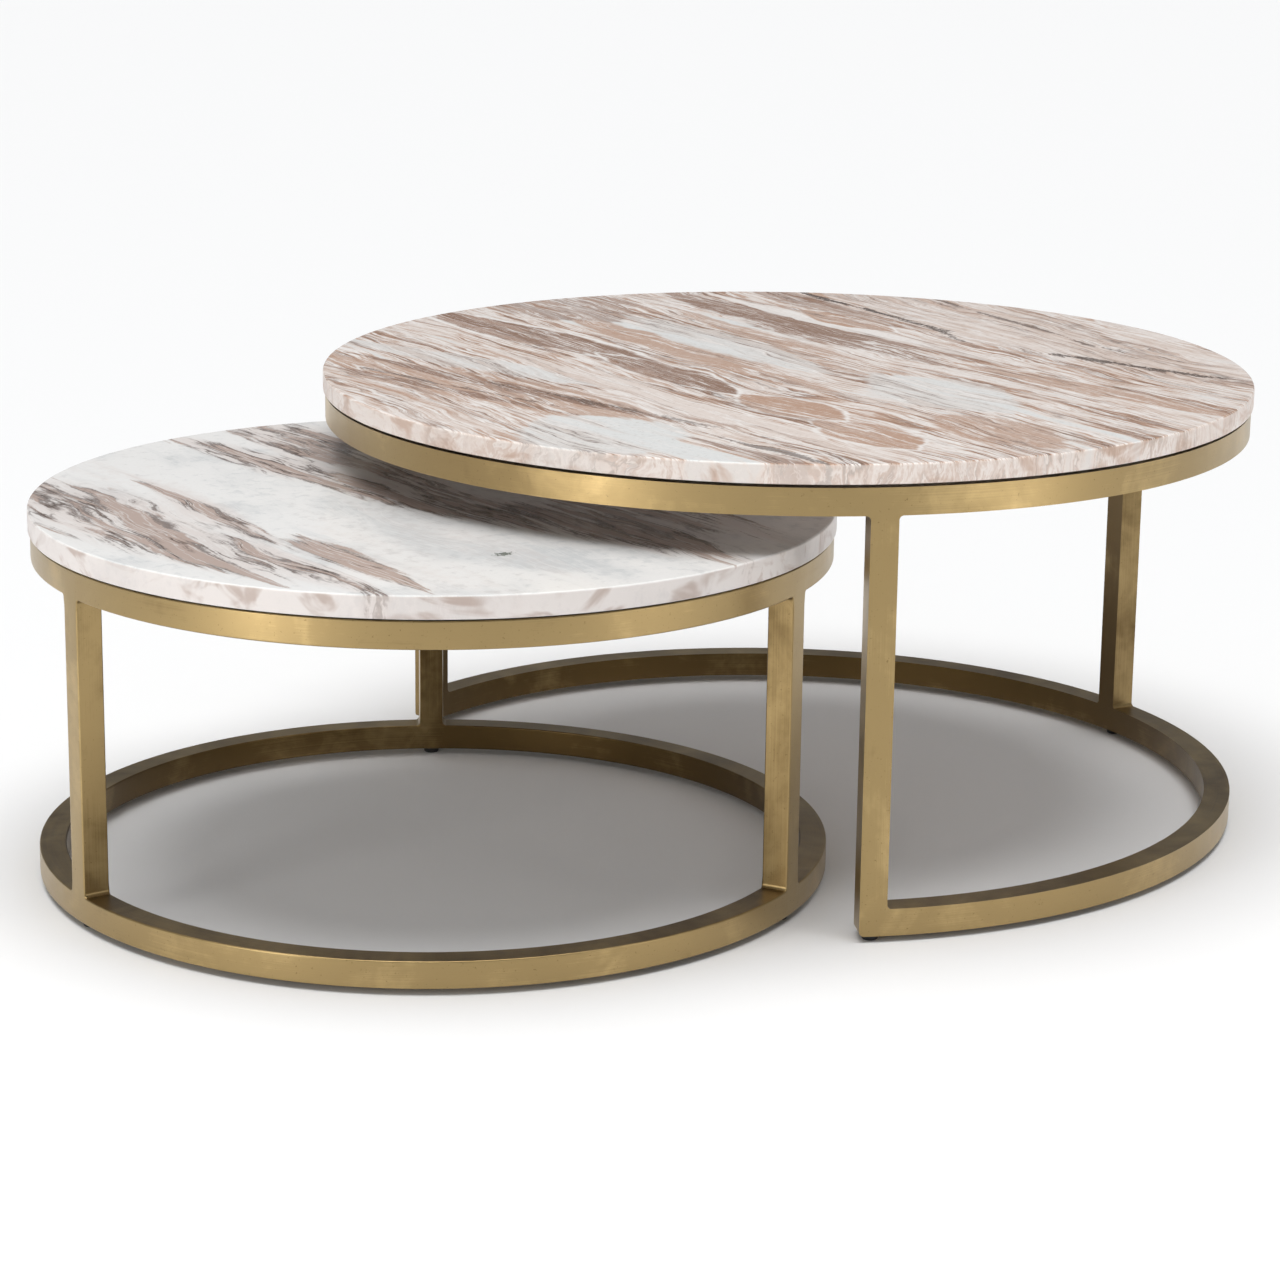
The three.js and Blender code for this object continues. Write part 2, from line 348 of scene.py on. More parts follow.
class StageSettings(bpy.types.PropertyGroup):
    """Camera, lights and floor."""

    turn: angle("Turn", "Direction of the view about the vertical; 0 looks along +Y", -34.0)
    elevation: angle("Elevation", "How far the camera looks down", 14.9)
    tilt: angle("Tilt", "How far the camera leans about its own axis", 0.74)
    distance: length("Distance", "From the camera to the point that it looks at", 3.492)
    aim_height: length("Aim height", "Height of the point that the camera looks at", 0.181)
    aim_side: length("Aim side", "How far the camera aims to the left of the middle", 0.0074)
    lens: bpy.props.FloatProperty(
        name="Lens", description="Focal length in millimetres", default=101.5, unit="CAMERA"
    )
    floor: colour("Floor", "Colour of the floor", (0.84, 0.84, 0.84))
    floor_radius: length("Floor radius", "Radius of the floor", 40.0)
    key: bpy.props.FloatProperty(
        name="Key light", description="Strength of the soft overhead light", default=2.58, min=0.0
    )
    zenith: amount("Light from above", "Strength of the sky overhead", 0.50)
    horizon: amount("Light from the side", "Strength of the sky at the horizon", 0.13)
    backdrop: amount("Backdrop", "Brightness of the plain backdrop seen beyond the floor", 0.95)


# ---------- mesh building ----------


def link(thing):
    bpy.context.scene.collection.objects.link(thing)
    return thing


def place_mesh(name, mesh, material):
    """A new piece with a mesh already in the frame of the model."""
    piece = link(bpy.data.objects.new(name, mesh))
    piece.data.materials.append(material)
    for face in mesh.polygons:
        face.use_smooth = True
    return piece


def from_bmesh(name, work, material):
    bmesh.ops.recalc_face_normals(work, faces=work.faces)
    mesh = bpy.data.meshes.new(name)
    work.to_mesh(mesh)
    work.free()
    return place_mesh(name, mesh, material)


def soften(piece, width, segments=3, limit=30.0):
    """Rounds the sharp edges of a piece and evens out its shading."""
    bevel = piece.modifiers.new("Rounded edges", "BEVEL")
    bevel.limit_method = "ANGLE"
    bevel.angle_limit = math.radians(limit)
    bevel.width = width
    bevel.segments = segments
    bevel.use_clamp_overlap = True
    even_shading(piece)


def even_shading(piece):
    weighted = piece.modifiers.new("Even shading", "WEIGHTED_NORMAL")
    weighted.keep_sharp = True


def smooth_by_angle(piece, degrees=35.0):
    for face in piece.data.polygons:
        face.use_smooth = True
    piece.data.set_sharp_from_angle(angle=math.radians(degrees))


def quarter_round(centre, radius, start, end, steps=ARC_STEPS):
    """Points on an arc in the radius-height plane; angles in degrees."""
    points = []
    for step in range(steps + 1):
        turn = math.radians(start + (end - start) * step / steps)
        points.append((centre[0] + radius * math.cos(turn), centre[1] + radius * math.sin(turn)))
    return points


def turned_bmesh(profile, steps, centre):
    """A profile of (radius, height) points turned about a vertical axis through a centre."""
    work = bmesh.new()
    rows = []
    for radius, height in profile:
        if radius == 0.0:
            rows.append([work.verts.new((centre.x, centre.y, height))])
            continue
        row = []
        for step in range(steps):
            turn = 2 * math.pi * step / steps
            x = centre.x + radius * math.cos(turn)
            y = centre.y + radius * math.sin(turn)
            row.append(work.verts.new((x, y, height)))
        rows.append(row)
    for low, high in zip(rows, rows[1:]):
        for step in range(steps):
            following = (step + 1) % steps
            corners = [low[step % len(low)], low[following % len(low)]]
            corners += [high[following % len(high)], high[step % len(high)]]
            unique = list(dict.fromkeys(corners))
            if len(unique) > 2:
                work.faces.new(unique)
    return work


def cut(piece, cutter):
    """Cuts one solid out of another, and removes the cutter."""
    change = piece.modifiers.new("Cut", "BOOLEAN")
    change.operation = "DIFFERENCE"
    change.solver = "EXACT"
    change.object = cutter
    bpy.context.view_layer.update()
    graph = bpy.context.evaluated_depsgraph_get()
    mesh = bpy.data.meshes.new_from_object(piece.evaluated_get(graph))
    piece.modifiers.clear()
    piece.data = mesh
    bpy.data.objects.remove(cutter)


# ---------- the welded frame ----------


class Station:
    """One radial section of the frame: the heights of its two rings, and what lies beyond it."""

    def __init__(self, turn, table, lift=0.0, drop=0.0, cut_up=0.0):
        self.turn = turn
        self.heights = (
            table.floor[0] + cut_up,
            table.floor[1] + lift,
            table.upper[0] - drop,
            table.upper[1],
        )
        self.leg_beyond = False
        self.floor_beyond = True


def flare(distance, radius):
    """Height of a weld's surface above the ring, at a distance from the leg's side."""
    gap = radius - min(distance, radius)
    return radius - math.sqrt(max(0.0, radius**2 - gap**2))


def weld_offsets(radius):
    """Distances from a leg's side at which a quarter round is drawn, from 0 to its radius."""
    turns = [math.pi / 2 * step / ARC_STEPS for step in range(ARC_STEPS + 1)]
    return [radius * (1 - math.cos(turn)) for turn in turns]


def leg_stations(table, heading_angle, open_side, brass):
    """Stations across one leg and its welds, in order of rising angle."""
    half = table.tube / 2
    weld = brass.weld
    found = []

    def add(offset, lift, drop, cut_up=0.0):
        found.append(Station(heading_angle + offset / table.outside, table, lift, drop, cut_up))
        return found[-1]

    for side in (-1, 1):
        is_open = open_side == side
        edge = side * half
        welds = [(edge + side * off, flare(off, weld)) for off in weld_offsets(weld)]
        ends = [(edge - side * off, flare(off, brass.corner)) for off in weld_offsets(brass.corner)]
        if side == -1:
            welds.reverse()
        else:
            ends.reverse()
        outer = [(offset, 0.0 if is_open else rise, rise, 0.0) for offset, rise in welds]
        inner = [(offset, weld, weld, rise) for offset, rise in ends] if is_open else []
        if is_open and side == -1:
            for row in outer[:-1]:
                add(*row).floor_beyond = False
            for row in inner:
                add(*row).leg_beyond = True
        elif is_open:
            for row in inner[:-1]:
                add(*row).leg_beyond = True
            last = add(*inner[-1])
            last.floor_beyond = False
            for row in outer[1:]:
                add(*row).floor_beyond = False
        elif side == -1:
            for row in outer:
                add(*row)
            found[-1].leg_beyond = True
        else:
            for row in outer:
                add(*row)
        if side == -1:
            for share in (-0.3, 0.0, 0.3):
                add(share * table.tube, weld, weld).leg_beyond = True
    return found


def open_sides(table):
    """Which side of each leg is the open end of the floor ring: -1, 1 or 0."""
    sides = {}
    for leg, turn in table.legs.items():
        sides[leg] = 0
        for cap, cap_turn in table.caps.items():
            apart = math.remainder(cap_turn - turn, 2 * math.pi)
            if abs(apart) < table.tube / table.outside:
                sides[leg] = 1 if apart > 0 else -1
    return sides


def frame_stations(table, brass):
    sides = open_sides(table)
    stations = []
    reach = (table.tube / 2 + brass.weld) / table.outside
    for leg, turn in table.legs.items():
        stations += leg_stations(table, turn, sides[leg], brass)
    step = 2 * math.pi / ROUND_STEPS
    for index in range(ROUND_STEPS):
        turn = index * step - math.pi
        near = min(abs(math.remainder(turn - leg, 2 * math.pi)) for leg in table.legs.values())
        if near > reach + step / 3:
            stations.append(Station(turn, table))
    for station in stations:
        station.turn = math.remainder(station.turn, 2 * math.pi)
    stations.sort(key=lambda station: station.turn)
    open_the_ring(stations, table, sides)
    return stations


def open_the_ring(stations, table, sides):
    """Takes the floor ring away between its two open ends."""
    starts = [table.legs[leg] for leg, side in sides.items() if side == 1]
    ends = [table.legs[leg] for leg, side in sides.items() if side == -1]
    if not starts:
        return
    span = (ends[0] - starts[0]) % (2 * math.pi)
    half = table.tube / table.outside
    for station in stations:
        past = (station.turn - starts[0]) % (2 * math.pi)
        if half < past < span - half:
            station.floor_beyond = False


def welded_frame(table, brass, material):
    """One closed skin over the two rings, the legs and their ground welds."""
    work = bmesh.new()
    stations = frame_stations(table, brass)
    skins = []
    for radius in (table.outside, table.inside):
        rows = []
        for station in stations:
            direction = Vector((math.cos(station.turn), math.sin(station.turn), 0.0))
            foot = table.centre + radius * direction
            points = [foot + Vector((0, 0, height)) for height in station.heights]
            rows.append([work.verts.new(point) for point in points])
        skins.append(rows)
    edges = {}
    for index, station in enumerate(stations):
        following = (index + 1) % len(stations)
        spans = [(2, 3)]
        if station.floor_beyond:
            spans.append((0, 1))
        if station.leg_beyond:
            spans = [(0, 1), (1, 2), (2, 3)]
        for low, high in spans:
            corners = [(index, low), (following, low), (following, high), (index, high)]
            for rows in skins:
                work.faces.new([rows[i][j] for i, j in corners])
            for start, end in zip(corners, corners[1:] + corners[:1]):
                key = frozenset((start, end))
                edges[key] = None if key in edges else (start, end)
    for border in edges.values():
        if border:
            (a, b), (c, d) = border
            outer, inner = skins
            work.faces.new([outer[a][b], outer[c][d], inner[c][d], inner[a][b]])
    loose = [vertex for vertex in work.verts if not vertex.link_faces]
    bmesh.ops.delete(work, geom=loose, context="VERTS")
    piece = from_bmesh(f"{table.name}_welded_frame", work, material)
    soften(piece, brass.edge, limit=40.0)
    return piece


# ---------- materials ----------


def brushed_brass(name, table, brass):
    """Antique brass: brushed along the tube, mottled with tarnish, polished bright by rubbing in
    places, with painted light and shade by which way a face turns.
    """
    shader = Shader(name)
    x, y, z = shader.split(shader.place)
    x = x - table.centre.x
    y = y - table.centre.y
    radius = (x * x + y * y).root()
    wobble = (shader.noise(shader.place, 35, 2) - 0.5) * 0.012
    level = z + wobble
    low, high = table.floor[1], table.upper[0]
    on_leg = level.rise(low + 0.004, low + 0.012) * (1 - level.rise(high - 0.012, high - 0.004))
    ring_brush = shader.noise(shader.join(x * 5, y * 5, (z + radius) * 1500), 1.0, 4, 0.7)
    leg_brush = shader.noise(shader.join(x * 1500, y * 1500, z * 8), 1.0, 4, 0.7)
    brush = ring_brush * (1 - on_leg) + leg_brush * on_leg
    patches = shader.noise(shader.place, 9, 4, 0.6, 0.6)
    smears = shader.noise(shader.place, 38, 4, 0.65, 0.8)
    specks = shader.noise(shader.place, 420, 2, 0.5).rise(0.66, 0.76)
    normal = shader.node("ShaderNodeNewGeometry", out="Normal")
    normal_x, normal_y, normal_z = shader.split(normal)
    outward = (normal_x * x + normal_y * y) / radius
    # painted light and shade: faces turned outward are pushed towards the bright brass, and faces
    # turned inward, up or down towards tarnish, standing in for the shade inside and under the
    # frame and the dark that the ring tops mirror; on outer faces this also stands for real rubbing
    rub_and_painted_light = outward.rise(-0.8, 0.6) * (1 - normal_z.size().rise(0.3, 0.9) * 0.35)
    wear_and_painted_light = patches * 0.46 + smears * 0.14 + (brush - 0.5) * 0.18 + rub_and_painted_light * 0.24 + 0.06
    # the ramp runs from tarnish through aged to rubbed brass; through the facing mask it also
    # paints light and shade
    tint = shader.ramp(
        wear_and_painted_light.held(),
        [(0.36, brass.dark), (0.54, brass.aged), (0.62, brass.aged), (0.74, brass.bright)],
    )
    tint = shader.blend(specks * 0.5, tint, brass.dark)
    grain = (brush - 0.5) * 0.20 + (smears - 0.5) * 0.14 - (patches - 0.5) * 0.10
    shader.set(Base_Color=tint, Metallic=1.0, Roughness=(grain + brass.roughness).held())
    shader.set(Coat_Weight=0.4, Coat_Roughness=0.32)
    shader.raise_surface(brush + specks * -0.3, 0.00007)
    return shader.material


class Vein:
    """One lens-shaped band in a stone, drawn out along Y.

    Places are in metres from the stone's centre. lean is how far it moves across for each
    metre along, weight how strongly it shows, and outline how strongly its rim does.
    """

    def __init__(self, x, y, half_width, half_length, tone, lean=0.0, weight=1.0, outline=0.0):
        self.x = x
        self.y = y
        self.half_width = half_width
        self.half_length = half_length
        self.tone = tone
        self.lean = lean
        self.weight = weight
        self.outline = outline

    def spread(self, across, along, ragged):
        """0 in the middle of the band and 1 at its edge."""
        from_side = (across - self.x - (along - self.y) * self.lean).size() / self.half_width
        from_end = (along - self.y) / self.half_length
        return from_side + from_end * from_end + ragged


BROWN_STONE_VEINS = (
    Vein(-0.310, 0.050, 0.060, 0.270, "tan", lean=-0.22, weight=0.75),
    Vein(-0.345, 0.080, 0.010, 0.200, "brown", lean=-0.24, weight=0.9),
    Vein(-0.285, 0.040, 0.014, 0.260, "brown", lean=-0.20, weight=0.9),
    Vein(-0.255, 0.180, 0.026, 0.210, "frost", lean=-0.25, weight=0.8),
    Vein(-0.193, -0.080, 0.024, 0.330, "pale", lean=-0.03, weight=0.9),
    Vein(-0.120, 0.270, 0.036, 0.230, "brown", lean=-0.12, outline=1.0),
    Vein(-0.116, 0.030, 0.031, 0.130, "brown", outline=1.0),
    Vein(-0.112, -0.165, 0.036, 0.080, "tan", outline=0.8),
    Vein(-0.030, 0.120, 0.032, 0.260, "tan", lean=0.02, weight=0.85),
    Vein(0.000, 0.400, 0.085, 0.110, "brown", weight=0.7),
    Vein(0.024, 0.140, 0.036, 0.210, "frost", lean=0.03, weight=0.9),
    Vein(0.080, 0.100, 0.018, 0.280, "tan", lean=0.05, weight=0.7),
    Vein(0.145, 0.180, 0.040, 0.290, "brown", lean=0.02, weight=0.95),
    Vein(0.187, 0.150, 0.017, 0.270, "thread", lean=-0.02, weight=0.9),
    Vein(0.212, 0.183, 0.028, 0.085, "tan", outline=0.9),
    Vein(0.185, -0.250, 0.022, 0.200, "tan", lean=-0.16, weight=0.9),
    Vein(0.245, 0.300, 0.024, 0.200, "brown", lean=0.05, weight=0.6),
    Vein(0.340, 0.000, 0.090, 0.420, "pale", lean=-0.05, weight=0.5),
    Vein(-0.330, -0.180, 0.085, 0.100, "frost", weight=1.0),
    Vein(0.050, -0.180, 0.065, 0.115, "frost", weight=0.95),
    Vein(-0.130, -0.300, 0.040, 0.080, "tan", outline=0.8),
    Vein(-0.018, -0.345, 0.050, 0.095, "tan", weight=0.8),
    Vein(-0.265, -0.330, 0.012, 0.120, "brown", lean=-0.10, weight=0.8),
)
BROWN_STONE_CRACKS = (
    Vein(0.272, 0.230, 0.009, 0.200, "crack", lean=0.06, weight=0.95),
    Vein(0.250, 0.060, 0.008, 0.070, "crack", lean=0.25, weight=0.8),
    Vein(0.292, -0.140, 0.009, 0.150, "crack", lean=-0.34, weight=0.9),
    Vein(0.362, 0.100, 0.004, 0.170, "crack", lean=0.12, weight=0.7),
    Vein(0.343, -0.060, 0.007, 0.060, "crack", weight=0.75),
    Vein(-0.330, 0.090, 0.005, 0.190, "crack", lean=-0.24, weight=0.6),
    Vein(-0.262, -0.050, 0.009, 0.230, "crack", lean=-0.22, weight=0.6),
    Vein(-0.246, -0.300, 0.009, 0.110, "crack", lean=-0.08, weight=0.7),
)
WHITE_STONE_VEINS = (
    Vein(-0.290, 0.060, 0.075, 0.300, "stain", lean=-0.08, weight=1.0),
    Vein(-0.205, 0.060, 0.022, 0.200, "stain", lean=0.03, weight=0.8),
    Vein(-0.232, -0.200, 0.024, 0.160, "stain", lean=-0.04, weight=0.9),
    Vein(-0.184, -0.180, 0.024, 0.130, "stain", weight=1.0),
    Vein(-0.062, 0.190, 0.034, 0.230, "stain", lean=-0.12, weight=1.15),
    Vein(0.020, 0.230, 0.060, 0.240, "stain", lean=-0.04, weight=1.1),
    Vein(-0.010, -0.020, 0.050, 0.160, "stain", lean=-0.15, weight=0.9),
    Vein(0.065, -0.190, 0.055, 0.200, "stain", lean=-0.22, weight=1.1),
    Vein(0.150, -0.080, 0.070, 0.260, "stain", lean=-0.10, weight=0.9),
)


class StoneGrain:
    """The coordinates and noises that all the layers of one stone share."""

    def __init__(self, shader, table):
        self.shader = shader
        x, y, self.z = shader.split(shader.place)
        self.x = x - table.centre.x
        self.y = y - table.centre.y
        slow = self.cloud(3.0, 1.6, 2)
        bend = self.cloud(11.0, 4.0, 3)
        fray = self.cloud(60.0, 16.0, 3)
        self.near = self.x + (bend - 0.5) * 0.030 + (fray - 0.5) * 0.009
        self.across = self.near + (slow - 0.5) * 0.11 + (bend - 0.5) * 0.02
        self.bands = self.layer(13, 1.4, 4)
        self.streaks = self.layer(48, 2.6, 5)
        self.hair = self.layer(190, 8.0, 3)
        self.patches = self.cloud(8.0, 5.0, 4)
        self.ragged = (self.layer(90, 14.0, 3) - 0.5) * 2.6 + (self.patches - 0.5) * 1.2
        self.mottle = shader.noise(shader.place, 280, 3, 0.6)

    def cloud(self, across, along, detail):
        place = self.shader.join(self.x * across, self.y * along, self.z * across * 0.7)
        return self.shader.noise(place, 1.0, detail, 0.55)

    def layer(self, across, along, detail):
        """Noise drawn out along Y; across and along count its waves in a metre."""
        place = self.shader.join(self.across * across, self.y * along, self.z * across * 0.25)
        return self.shader.noise(place, 1.0, detail, 0.62)


def lay_veins(shader, grain, body, veins, tones, lighter, outline_colour):
    """Lays bands over a stone, each streaked with a lighter tone."""
    for vein in veins:
        spread = vein.spread(grain.near, grain.y, grain.ragged * (0.20 if vein.outline else 0.30))
        inside = 1 - spread.rise(0.82, 1.02)
        deep = tones[vein.tone]
        tone = shader.blend((grain.streaks - 0.5).rise(-0.12, 0.12) * 0.42, deep, lighter)
        body = shader.blend(inside * vein.weight, body, tone)
        if vein.outline:
            line = spread.bump_at(1.00, 0.13)
            line = line * grain.patches.rise(0.34, 0.52) * vein.outline
            body = shader.blend(line, body, outline_colour)
    return body


def lay_cracks(shader, grain, body, cracks, tint):
    """Lays thin broken lines over a stone."""
    broken = grain.ragged * 1.5 + (grain.mottle - 0.5) * 2.0 + 0.1
    for crack in cracks:
        spread = crack.spread(grain.near, grain.y, broken)
        body = shader.blend((1 - spread.rise(0.30, 1.0)) * crack.weight * 0.95, body, tint)
    return body


def brown_marble(name, table, stone):
    """Pale stone crowded with tan and brown bands, white threads and a few dark cracks."""
    shader = Shader(name)
    grain = StoneGrain(shader, table)
    lighter = shader.blend(grain.hair.rise(0.47, 0.60), stone.tan, stone.pale)
    level = grain.bands * 0.50 + grain.streaks * 0.50
    body = shader.ramp(
        level,
        [
            (0.38, stone.frost),
            (0.43, stone.pale),
            (0.450, stone.tan),
            (0.468, stone.thread),
            (0.480, stone.pale),
            (0.500, stone.tan),
            (0.530, stone.brown),
            (0.545, stone.thread),
            (0.560, stone.tan),
            (0.590, stone.pale),
            (0.640, stone.tan),
        ],
    )
    body = shader.blend(grain.patches.rise(0.52, 0.66) * 0.5, body, stone.pale)
    tones = {tone: getattr(stone, tone) for tone in ("frost", "pale", "tan", "brown", "thread")}
    body = lay_veins(shader, grain, body, BROWN_STONE_VEINS, tones, lighter, stone.thread)
    fine = grain.hair.rise(0.53, 0.66) * grain.streaks.rise(0.42, 0.54) * 0.55
    body = shader.blend(fine, body, stone.brown)
    pale_hair = 1 - ((grain.hair - 0.45).size() * 34).held()
    body = shader.blend(pale_hair * 0.5, body, stone.thread)
    thread = 1 - ((grain.streaks - 0.505).size() * 42).held()
    body = shader.blend(thread * grain.patches.rise(0.36, 0.50) * 0.95, body, stone.thread)
    dark_thread = 1 - ((grain.streaks - 0.56).size() * 60).held()
    body = shader.blend(dark_thread * (1 - grain.patches.rise(0.42, 0.56)) * 0.6, body, stone.crack)
    body = lay_cracks(shader, grain, body, BROWN_STONE_CRACKS, stone.crack)
    body = shader.blend((grain.mottle - 0.5).rise(0.02, 0.22) * 0.20, body, stone.thread)
    body = shader.blend((0.5 - grain.mottle).rise(0.05, 0.25) * 0.22, body, stone.brown)
    finish_stone(shader, body, grain, stone.pale, stone.tan)
    return shader.material


def white_marble(name, table, stone):
    """White stone with grey clouds and ragged brown zones, which dark cracks follow."""
    shader = Shader(name)
    grain = StoneGrain(shader, table)
    body = shader.blend(grain.patches.rise(0.46, 0.68) * 0.62, stone.white, stone.cloud)
    spots = shader.noise(shader.place, 85, 4, 0.6)
    clouds = (spots * 0.6 + grain.patches * 0.4).rise(0.50, 0.62)
    body = shader.blend(clouds * 0.50, body, stone.cloud)
    warm = (grain.bands * 0.7 + spots * 0.3).rise(0.50, 0.62)
    body = shader.blend(warm * 0.30, body, stone.blush)
    body = shader.blend(grain.streaks.rise(0.54, 0.70) * 0.30, body, stone.cloud)
    zone = 0.0
    for vein in WHITE_STONE_VEINS:
        spread = vein.spread(grain.near, grain.y, 0.0)
        zone = (1 - spread.rise(0.0, 1.45)) * vein.weight + zone
    zone = zone.held()
    torn = grain.layer(44, 3.2, 6)
    body = shader.blend((zone + (grain.streaks - 0.5)).rise(0.15, 0.80) * 0.75, body, stone.blush)
    level = zone * 0.50 + (torn - 0.5) * 2.4 + (grain.hair - 0.5) * 0.7
    level = (level + (grain.mottle - 0.5) * 0.3) * zone.rise(0.02, 0.20)
    body = shader.blend(level.rise(0.38, 0.52) * 0.72, body, stone.stain)
    pale = 1 - ((grain.hair - 0.47).size() * 26).held()
    body = shader.blend(pale * 0.5, body, stone.white)
    broken = (grain.ragged + 0.6).rise(0.25, 0.75)
    line = level.bump_at(0.42, 0.17) * zone.rise(0.25, 0.50) * broken
    body = shader.blend(line * 0.75, body, stone.crack)
    seam = grain.layer(21, 2.4, 5)
    seam = (1 - ((seam - 0.5).size() * 55).held()) * zone.rise(0.35, 0.70) * broken
    body = shader.blend(seam * 0.85, body, stone.crack)
    body = shader.blend(level.rise(0.85, 1.05) * broken * 0.7, body, stone.crack)
    body = shader.blend((0.5 - grain.mottle).rise(0.05, 0.28) * 0.22, body, stone.cloud)
    fleck = shader.join((grain.x + 0.063) * 90, (grain.y + 0.222) * 140, 0.0)
    reach = shader.node("ShaderNodeVectorMath", {"operation": "LENGTH"}, {0: fleck}, out=1)
    fleck = (1 - reach + (grain.mottle - 0.5) * 3.0).rise(0.1, 0.5)
    body = shader.blend(fleck * 0.85, body, stone.moss)
    finish_stone(shader, body, grain, stone.blush, stone.stain)
    return shader.material


def finish_stone(shader, body, grain, edge, stain):
    """Polish on top, honed edges, a sawn underside."""
    geometry = shader.node("ShaderNodeNewGeometry", out="Normal")
    facing = shader.split(geometry)[2]
    under = (0 - facing).rise(0.3, 0.8)
    side = 1 - facing.size().rise(0.2, 0.9)
    body = shader.blend(side * 0.60, body, edge)
    soaked = shader.noise(shader.join(grain.x * 16, grain.y * 16, grain.z * 24), 1.0, 3, 0.55, 1.2)
    body = shader.blend(side * soaked.rise(0.50, 0.68) * 0.60, body, stain)
    dull = shader.blend(under * 0.35, body, (0.45, 0.44, 0.43))
    rough = 0.22 + (grain.mottle - 0.5) * 0.10 + under * 0.45
    rough = rough + side * 0.12
    shader.set(Base_Color=dull, Roughness=rough.held(), Specular_IOR_Level=0.26)
    shader.raise_surface(grain.mottle * 0.5 + grain.hair * 0.3, 0.00004)


def moulded_plastic(name, tint):
    """Matt black plastic with a fine moulded grain and scuffs."""
    shader = Shader(name)
    grain = shader.noise(shader.place, 1400, 2)
    scuff = shader.noise(shader.place, 160, 4, 0.7).rise(0.55, 0.75)
    body = shader.blend(scuff * 0.25, tint, (0.08, 0.08, 0.08))
    shader.set(Base_Color=body, Roughness=0.5 + scuff * 0.2)
    shader.raise_surface(grain, 0.00004)
    return shader.material


def turned_metal(name, pale, deep, roughness):
    """Plain plated or turned metal with fine rings and dull spots."""
    shader = Shader(name)
    spots = shader.noise(shader.place, 240, 4, 0.6)
    lines = shader.noise(shader.join(0.0, 0.0, shader.split(shader.place)[2] * 4000), 1.0, 2)
    shader.set(
        Base_Color=shader.blend(spots.rise(0.4, 0.7), pale, deep),
        Metallic=1.0,
        Roughness=roughness + (spots - 0.5) * 0.2 + (lines - 0.5) * 0.1,
    )
    shader.raise_surface(lines, 0.00002)
    return shader.material


# ---------- operators ----------


def settings():
    return bpy.context.scene


